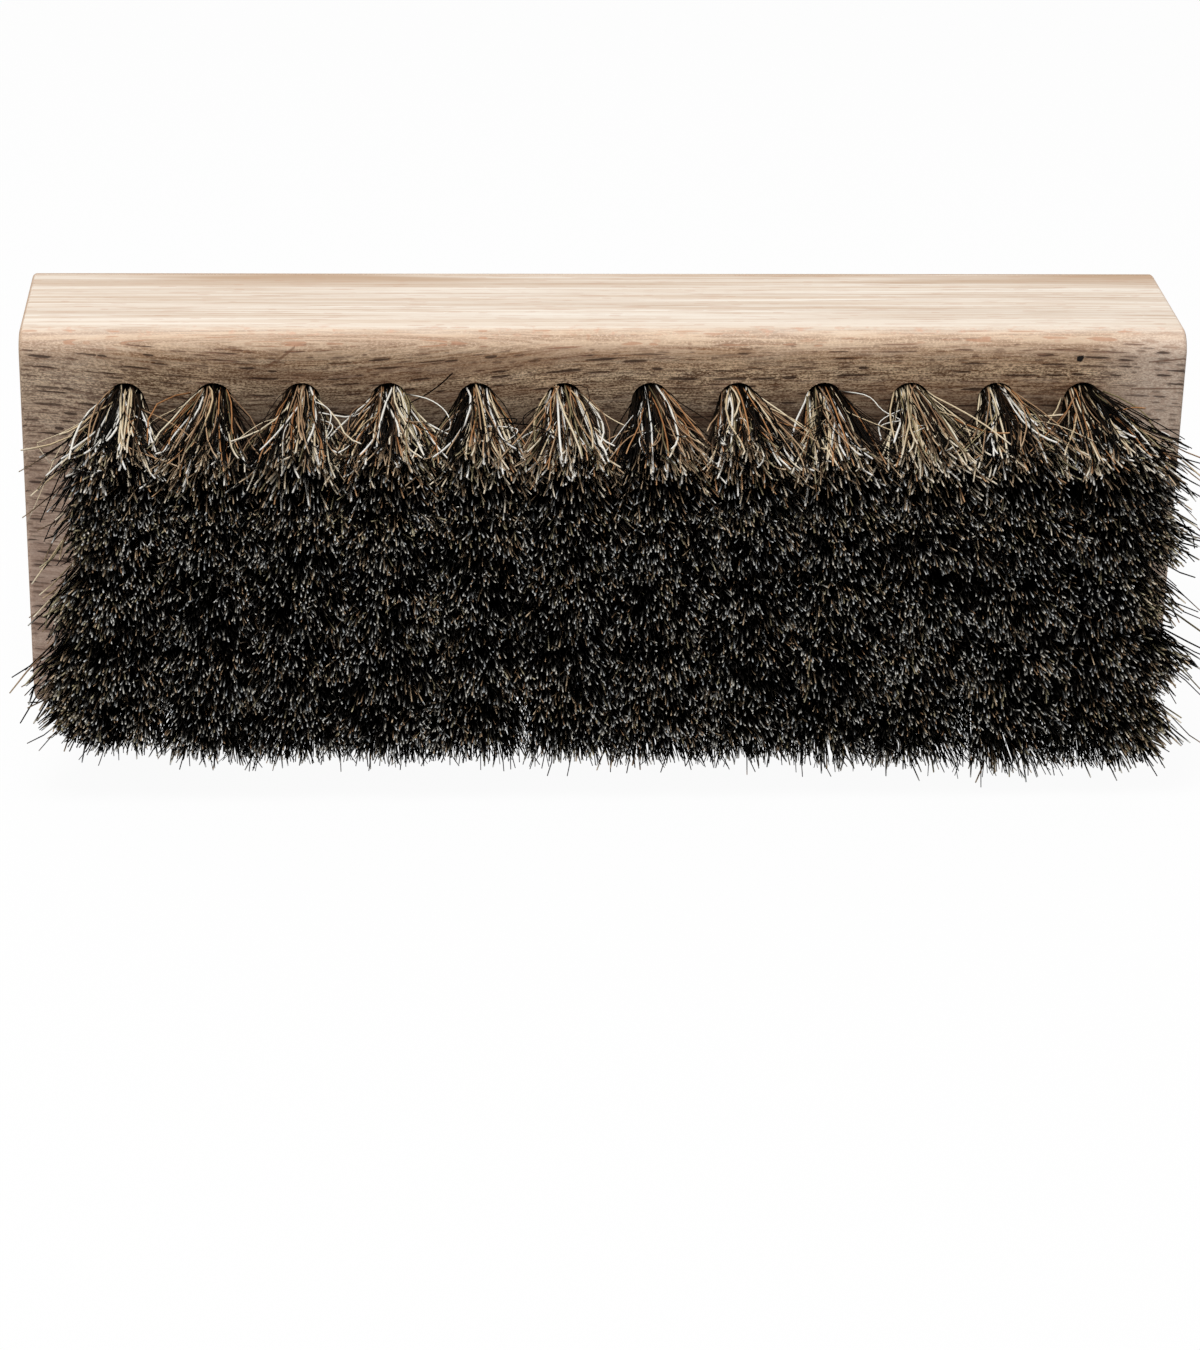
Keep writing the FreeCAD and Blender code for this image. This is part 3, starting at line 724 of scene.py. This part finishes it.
def hair_pattern(places):
    """The modelled hair as arrays: points, the ring each is on, faces and their place on the map."""
    hair = model_hair(places)
    points = np.array([vertex.co for vertex in hair.data.vertices])
    rings = np.abs(points[:, 2:3] - np.array(places)).argmin(axis=1)
    corners, sizes, chart = [], [], []
    for face in hair.data.polygons:
        cut_end = min(points[corner, 2] for corner in face.vertices) > TIP_HEIGHT
        turn = math.atan2(face.center.y, face.center.x)
        for corner in face.vertices:
            px, py, pz = points[corner]
            # The cut end takes the top of the map, where the pale tip with its painted highlight is full
            if cut_end:
                across = math.copysign(1, px if abs(px) > abs(py) else py)
                up = HAIR_TOP_V + (1 - HAIR_TOP_V) * (0.5 + 0.5 * math.copysign(1, px - py + 1e-6))
            else:
                across = math.copysign(1, math.sin(math.atan2(py, px) - turn))
                up = HAIR_TOP_V * pz
            corners.append(corner)
            chart.append((across * TONE_HALF_WIDTH, up))
        sizes.append(len(face.vertices))
    bpy.data.objects.remove(hair)
    return points, rings, np.array(corners), np.array(sizes), np.array(chart)


def lay_hairs(pattern, lines, radii, tones):
    """Copies of a modelled hair, each laid along its own line: points, faces, face sizes and map."""
    points, rings, corners, sizes, chart = pattern
    along = np.gradient(lines, axis=1)
    along /= np.linalg.norm(along, axis=2, keepdims=True)
    upward = np.array((0.0, 0.0, 1.0)) - along[:, :, 2:3] * along
    upward /= np.linalg.norm(upward, axis=2, keepdims=True)
    sideways = np.cross(upward, along)
    around = points[:, 0, None] * sideways[:, rings] + points[:, 1, None] * upward[:, rings]
    verts = lines[:, rings] + radii[:, None, None] * around
    count, each = len(lines), len(points)
    loops = corners[None, :] + each * np.arange(count)[:, None]
    spots = np.empty((count, len(corners), 2))
    spots[:, :, 0] = tones[:, None] + chart[None, :, 0]
    spots[:, :, 1] = chart[None, :, 1]
    return verts.reshape(-1, 3), loops.ravel(), np.tile(sizes, count), spots.reshape(-1, 2)


def hair_mesh(name, groups):
    """One mesh of all the laid hairs."""
    verts, loops, counts, spots = [], [], [], []
    for group_verts, group_loops, group_counts, group_spots in groups:
        loops.append(group_loops + sum(len(part) for part in verts))
        verts.append(group_verts)
        counts.append(group_counts)
        spots.append(group_spots)
    verts, loops, counts, spots = (np.concatenate(parts) for parts in (verts, loops, counts, spots))
    mesh = bpy.data.meshes.new(name)
    mesh.vertices.add(len(verts))
    mesh.vertices.foreach_set("co", verts.astype(np.float32).ravel())
    mesh.loops.add(len(loops))
    mesh.loops.foreach_set("vertex_index", loops.astype(np.int32))
    mesh.polygons.add(len(counts))
    mesh.polygons.foreach_set("loop_start", np.concatenate(([0], np.cumsum(counts)[:-1])).astype(np.int32))
    layer = mesh.uv_layers.new(name="OFBake")
    layer.data.foreach_set("uv", spots.astype(np.float32).ravel())
    mesh.update(calc_edges=True)
    mesh.validate()
    piece = bpy.data.objects.new(name, mesh)
    bpy.context.scene.collection.objects.link(piece)
    bpy.ops.object.select_all(action="DESELECT")
    piece.select_set(True)
    bpy.context.view_layer.objects.active = piece
    bpy.ops.object.shade_smooth()
    return piece


# Tones of hairs

def pick_tones(rng, count, shares):
    """A tone for each hair from bands that are taken in the given shares."""
    bands = np.array([band for band, share in shares])
    chances = np.array([share for band, share in shares])
    chosen = rng.choice(len(bands), count, p=chances / chances.sum())
    return bands[chosen, 0] + rng.random(count) * (bands[chosen, 1] - bands[chosen, 0])


def inner_tones(rng, lightness, in_fan):
    """Tones below the top row: mostly dark hairs with grey tips, and more colour in the fans at the ends."""
    count = len(lightness)
    field = pick_tones(rng, count, FIELD_SHARES)
    fan = pick_tones(rng, count, FAN_SHARES)
    tones = np.empty(count)
    tones[np.argsort(CLUMP_CONTRAST * lightness + rng.normal(0, 1, count))] = np.sort(field)
    return np.where(in_fan, fan, tones)


def top_tones(rng, spots, column):
    """Tones of a tuft of the top row: its shares of dark and fair hairs, the fair ones rather to one side."""
    black, brown, straw, white, fair_side = TOP_TUFTS[column]
    count = len(spots)
    dark = pick_tones(rng, count, TOP_DARK_SHARES)
    warm = pick_tones(rng, count, TOP_WARM_SHARES)
    fair = pick_tones(rng, count, ((STRAW, straw), (WHITE, white)))
    rank = np.argsort(np.argsort(fair_side * spots[:, 0] + rng.normal(0, FAIR_SIDE_SCATTER, count))) / count
    warm_half = rng.random(count) < brown / (brown + straw + white)
    tones = np.where(rank < black, dark, np.where(warm_half, warm, fair))
    buried = rng.random(count) < BURIED_SHARE - BURIED_FALL * spots[:, 1]
    return np.where(buried, inner_tones(rng, np.zeros(count), np.zeros(count, bool)), tones)


# Tufts

def even_square(count, rng):
    """Evenly spread points in a square of -1 to 1."""
    order = np.arange(count)[:, None] + rng.random(2) * EVEN_START
    return 2 * np.mod(order * np.array(EVEN_STEPS), 1) - 1


def gathered(aim, pull, rng):
    """Tips drawn together in small clumps, and the clump that each belongs to."""
    seeds = aim[rng.permutation(len(aim))[:len(aim) // CLUMP_HAIRS]]
    clump = ((aim[:, None] - seeds[None]) ** 2).sum(axis=2).argmin(axis=1)
    return aim + pull * (seeds[clump] - aim), clump


def bend(lines, places, rng, bow, wave, hook):
    """Bows, waves and hooked tips added to straight lines of hair."""
    along = np.array(places)
    tip = np.clip((along - HOOK_START) / (1 - HOOK_START), 0, 1)
    count = len(lines)
    for axis in (0, 2):
        lines[:, :, axis] += rng.normal(0, bow, (count, 1)) * np.sin(math.pi * along)
        phase = rng.uniform(0, 2 * math.pi, (count, 1))
        swing = (np.sin(2 * math.pi * WAVE_TURNS * along + phase) - np.sin(phase)) * along
        lines[:, :, axis] += rng.normal(0, wave, (count, 1)) * swing
        lines[:, :, axis] += rng.normal(0, hook, (count, 1)) * tip
    return lines


def tuft_layout(column, row, rng):
    """How the hairs of a tuft stand in their hole and where they aim, on a scale of -1 to 1."""
    at_left, at_right = column == 0, column == COLUMNS - 1
    at_end, on_top = at_left or at_right, row == TOP_ROW
    habit = TOP_HABIT if on_top else FIELD_HABIT
    count = END_HAIRS if at_end else TOP_HAIRS if on_top else INNER_HAIRS
    square = even_square(count, rng)
    if at_end:
        outer = -1 if at_left else 1
        inward = (1 - outer * square[:, 0]) / 2
        square[:, 0] = outer * np.interp(inward, (0, OUTER_SHARE, 1), (1, 0, -1))
    spots = square * np.sqrt(1 - square[:, ::-1] ** 2 / 2)

    # Inner tufts fill their share of the field, the free sides of outer ones fan out in a round
    leftward, upward = square[:, 0] < 0, square[:, 1] > 0
    outward = (leftward & at_left) | (~leftward & at_right)
    free = outward | (upward & on_top)
    corner = outward & ~upward & (row == 0) & at_right
    cornered = CORNER_ROUNDNESS * spots + (1 - CORNER_ROUNDNESS) * square
    aim = np.where(corner[:, None], cornered, np.where(free[:, None], spots, square))
    aim, clump = gathered(aim, LOWEST_CLUMP_PULL if row == 0 else CLUMP_PULL, rng)
    lean = rng.normal(0, 1, 2) * (LEAN_ALONG, 0 if row == 0 else LEAN_ACROSS)
    return SimpleNamespace(
        column=column, row=row, at_left=at_left, at_right=at_right, on_top=on_top, habit=habit, count=count,
        square=square, spots=spots, leftward=leftward, upward=upward, outward=outward, aim=aim, clump=clump,
        fanned=np.where(outward, np.abs(aim[:, 0]), 0), lean=lean,
        bushy=rng.random(count) < habit.bushy_share,
        places=TOP_RINGS if on_top else END_RINGS if at_end else FIELD_RINGS,
    )


def tuft_tips(tuft, centre_x, face_y, rng):
    """Where the hairs of a tuft end."""
    habit, aim, count = tuft.habit, tuft.aim, tuft.count
    left = LEFT_REACH[tuft.row] if tuft.at_left else SPREAD_ALONG
    right = RIGHT_REACH[tuft.row] if tuft.at_right else SPREAD_ALONG
    up = UPPER_REACH if tuft.on_top else SPREAD_ACROSS
    down = np.interp(tuft.column, LOWER_COLUMNS, LOWER_REACH) if tuft.row == 0 else SPREAD_ACROSS
    strays = tuft.outward & (rng.random(count) < STRAY_SHARE)
    stray = 1 + np.where(strays, rng.uniform(0, LEFT_STRAY if tuft.at_left else RIGHT_STRAY, count), 0)
    tips = np.empty((count, 3))
    tips[:, 0] = centre_x + tuft.lean[0] + np.where(tuft.leftward, left, right) * aim[:, 0] * stray
    tips[:, 0] += rng.normal(0, SCATTER_ALONG, count)
    tips[:, 0] += np.where(tuft.bushy, rng.normal(0, habit.bushy_along, count), 0)
    tips[:, 2] = ROW_HEIGHTS[tuft.row] + tuft.lean[1] + np.where(tuft.upward, up, down) * aim[:, 1]
    tips[:, 2] += rng.normal(0, SCATTER_ACROSS, count)
    tips[:, 2] += np.where(tuft.bushy, rng.normal(0, BUSHY_ACROSS, count), 0)
    most_short = habit.most_short
    if tuft.on_top:
        tips[:, 2] -= rng.uniform(LEAST_DROOP, MOST_DROOP) * np.clip(DROOP_LEVEL - aim[:, 1], 0, 1)
        most_short = most_short * np.clip(SHORT_LEVEL + SHORT_RISE * tuft.spots[:, 1], LEAST_SHORT, 1)
    if tuft.at_left:
        tips[:, 2] += LEFT_LIFT[tuft.row] * np.maximum(-aim[:, 0], 0) ** LIFT_POWER
    short = np.where(rng.random(count) < habit.short_share, rng.uniform(0, 1, count) * most_short, 0)
    hollow = ROW_HOLLOW * np.abs(tuft.square[:, 1]) ** HOLLOW_POWER
    short += rng.uniform(0, CLUMP_DEPTH, count)[tuft.clump] + hollow
    tips[:, 1] = face_y - BRISTLE_LENGTH + short + np.abs(rng.normal(0, habit.uneven, count))
    return tips


def tuft_lines(tuft, centre_x, face_y, rng):
    """The bent lines of a tuft's hairs, straight in the hole and flaring to their tips."""
    roots = np.empty((tuft.count, 3))
    roots[:, 0] = centre_x + ROOT_RADIUS * tuft.spots[:, 0]
    roots[:, 1] = face_y + ROOT_SINK
    roots[:, 2] = ROW_HEIGHTS[tuft.row] - ROOT_SAG + ROOT_RADIUS * tuft.spots[:, 1]
    tips = tuft_tips(tuft, centre_x, face_y, rng)
    along = np.array(tuft.places)
    mouth = ROOT_SINK / (ROOT_SINK + BRISTLE_LENGTH)
    outside = np.clip((along - mouth) / (1 - mouth), 0, 1)
    power = np.where(tuft.bushy, tuft.habit.bushy_power, tuft.habit.flare_power)
    flare = outside[None, :] ** power[:, None]
    share = np.stack((flare, np.broadcast_to(along, flare.shape), flare), axis=2)
    lines = roots[:, None, :] + (tips - roots)[:, None, :] * share
    lines = bend(lines, tuft.places, rng, *tuft.habit.bends)
    wild = rng.random(tuft.count) < WILD_SHARE
    lines[wild] = bend(lines[wild], tuft.places, rng, *WILD_BEND)
    lines[:, :, 2] = np.maximum(lines[:, :, 2], LOWEST_HAIR)
    return lines


def tuft_tones(tuft, rng):
    """The tones of a tuft's hairs: each clump is rather light or dark, and the fans have more colour."""
    lightness = rng.normal(0, 1, tuft.count)[tuft.clump]
    under_top = FAN_UNDER_TOP * tuft.spots[:, 1] if tuft.row == TOP_ROW - 1 else 0
    in_fan = rng.random(tuft.count) < np.maximum(FAN_RISE * tuft.fanned - FAN_START, under_top)
    if tuft.on_top:
        return top_tones(rng, tuft.spots, tuft.column)
    return inner_tones(rng, lightness, in_fan)


def tuft_radii(tuft, tones, rng):
    """The radii of a tuft's hairs: pale ones and those of the fans are a little bolder."""
    habit = tuft.habit
    pale = (tones > PALE_TIPPED[0]) & (tones < PALE_TIPPED[1]) | (tones > BROWN[0])
    radii = rng.uniform(THINNEST_HAIR, THICKEST_HAIR, tuft.count) + habit.bolder
    radii += habit.pale_bolder * pale + habit.fan_bolder * tuft.fanned
    return radii + habit.straw_bolder * (tones > STRAW[0]) + habit.white_bolder * (tones > WHITE[0])


def tuft_hairs(column, row, centre_x, face_y, rng):
    """Lines, radii and tones of the hairs of one tuft."""
    tuft = tuft_layout(column, row, rng)
    lines = tuft_lines(tuft, centre_x, face_y, rng)
    tones = tuft_tones(tuft, rng)
    return lines, tuft_radii(tuft, tones, rng), tones


def smooth_line(points, places):
    """A smooth line through a few points, read at places from 0 to 1."""
    padded = np.vstack((2 * points[0] - points[1], points, 2 * points[-1] - points[-2]))
    spans = np.asarray(places) * (len(points) - 1)
    first = np.minimum(spans.astype(int), len(points) - 2)
    part = (spans - first)[:, None]
    before, start, end, after = (padded[first + step] for step in range(4))
    return 0.5 * (
        2 * start + (end - before) * part + (2 * before - 5 * start + 4 * end - after) * part ** 2
        + (3 * start - before - 3 * end + after) * part ** 3
    )


def loose_hairs(centre_x):
    """The loose hairs that come from the tuft of the top row at a place along the block."""
    lines, radii, tones = [], [], []
    for band, radius, points in LOOSE_HAIRS:
        points = np.array(points) * MM
        nearest_root = points[points[:, 1].argmax()]
        if abs(nearest_root[0] - centre_x) <= COLUMN_PITCH / 2:
            lines.append(smooth_line(points, LOOSE_RINGS))
            radii.append(radius * MM)
            tones.append((band[0] + band[1]) / 2)
    return lines, radii, tones


def crossing_hairs(centre_x, face_y, rng):
    """Bent hairs that lie over a tuft of the top row and cross its others."""
    lines, radii = [], []
    over = ROW_HEIGHTS[TOP_ROW] + ROOT_RADIUS
    for strand in range(CROSSING_HAIRS):
        begin, finish = rng.uniform(*CROSSING_BEGIN), rng.uniform(*CROSSING_END)
        wide = rng.uniform(-CROSSING_WIDTH, CROSSING_WIDTH)
        spread = ROOT_RADIUS + (SPREAD_ALONG - ROOT_RADIUS) * begin ** TOP_HABIT.flare_power
        start_x = centre_x + wide * spread
        end_x = start_x + CROSSING_DRIFT * wide + rng.normal(0, CROSSING_SCATTER)
        end_z = over + rng.uniform(-CROSSING_FALL, CROSSING_RISE)
        start = np.array((start_x, face_y - begin * BRISTLE_LENGTH, over - CROSSING_SINK))
        end = np.array((end_x, face_y - finish * BRISTLE_LENGTH, end_z))
        arch = np.array((rng.normal(0, CROSSING_BOW), 0, rng.uniform(0, CROSSING_ARCH)))
        lines.append(smooth_line(np.array((start, (start + end) / 2 + arch, end)), LOOSE_RINGS))
        radii.append(rng.uniform(*CROSSING_RADII))
    return lines, radii, list(pick_tones(rng, CROSSING_HAIRS, CROSSING_SHARES))


def bristle_piece(column, patterns, face_y, material):
    """All the hairs of one column of tufts, in the place of its solid tufts."""
    node_name = f"bristle_tufts_{column + 1:02d}"
    low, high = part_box(f"tuft_anchors_{column + 1:02d}")
    centre_x = (low.x + high.x) / 2
    rng = np.random.default_rng(HAIR_SEED + column)
    tufts = [tuft_hairs(column, row, centre_x, face_y, rng) for row in range(len(ROW_HEIGHTS))]
    inner = (np.concatenate(parts) for parts in zip(*tufts[:TOP_ROW]))
    field = patterns["end"] if column in (0, COLUMNS - 1) else patterns["field"]
    groups = [lay_hairs(field, *inner), lay_hairs(patterns["top"], *tufts[TOP_ROW])]
    loose, crossing = loose_hairs(centre_x), crossing_hairs(centre_x, face_y, rng)
    over = (np.array(part + more) for part, more in zip(loose, crossing))
    groups.append(lay_hairs(patterns["loose"], *over))
    piece = hair_mesh(f"bristles_{column + 1:02d}", groups)
    piece.data.materials.append(material)
    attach(piece, "root")
    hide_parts(node_name)


# Brush

block_low, block_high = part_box("wood_block")
beech = beech_material(block_low, block_high)
wire = wire_material()
for name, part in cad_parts.items():
    if name == "wood_block":
        part.data.materials.clear()
        part.data.materials.append(beech)
    elif name.startswith("tuft_anchors"):
        part.data.materials.clear()
        part.data.materials.append(wire)

hair_rings = {"field": FIELD_RINGS, "end": END_RINGS, "top": TOP_RINGS, "loose": LOOSE_RINGS}
patterns = {kind: hair_pattern(places) for kind, places in hair_rings.items()}
bristle_hair = hair_material()
for column in range(COLUMNS):
    bristle_piece(column, patterns, block_low.y, bristle_hair)


# Table, light and camera

def soft_lamp(name, place, target, size, power):
    """A square lamp that looks at a point."""
    lamp = bpy.data.lights.new(name, "AREA")
    lamp.shape = "SQUARE"
    lamp.size = size
    lamp.energy = power
    holder = bpy.data.objects.new(name, lamp)
    holder.location = place
    away = holder.location - target
    holder.rotation_euler = away.to_track_quat("Z", "Y").to_euler()
    bpy.context.scene.collection.objects.link(holder)


bpy.ops.object.select_all(action="DESELECT")
bpy.ops.mesh.primitive_plane_add(size=TABLE_SIZE, location=(0, 0, 0))
table = bpy.context.object
table.name = "white_table"
table.data.materials.append(table_material())

scene = bpy.context.scene
world = bpy.data.worlds.new("white_room")
scene.world = world
world.use_nodes = True
sky = world.node_tree
sky.nodes.clear()
rays = node(sky, "ShaderNodeLightPath").outputs
backdrop = larger(sky, rays["Is Camera Ray"], rays["Is Transmission Ray"])
level = scaled(sky, backdrop, 1 - ROOM_LEVEL, ROOM_LEVEL)
room = node(sky, "ShaderNodeBackground", {"Color": (1, 1, 1, 1), "Strength": level})
sky.links.new(room.outputs[0], node(sky, "ShaderNodeOutputWorld").inputs["Surface"])

soft_lamp("overhead_lamp", LAMP_PLACE, (cad_low + cad_high) / 2, LAMP_SIZE, LAMP_POWER)

camera = bpy.data.objects.new("camera", bpy.data.cameras.new("camera"))
camera.location = CAMERA_PLACE
turned = Matrix.Rotation(-CAMERA_TURN, 3, "Z")
tilted = Matrix.Rotation(math.pi / 2 - CAMERA_TILT, 3, "X")
rolled = Matrix.Rotation(CAMERA_ROLL, 3, "Z")
camera.rotation_euler = (turned @ tilted @ rolled).to_euler()
camera.data.sensor_width = SENSOR_WIDTH
camera.data.lens = FOCAL_PIXELS / PICTURE_HEIGHT * SENSOR_WIDTH
camera.data.clip_start = CLIP_START
scene.collection.objects.link(camera)
scene.camera = camera
scene.view_settings.view_transform = "Standard"
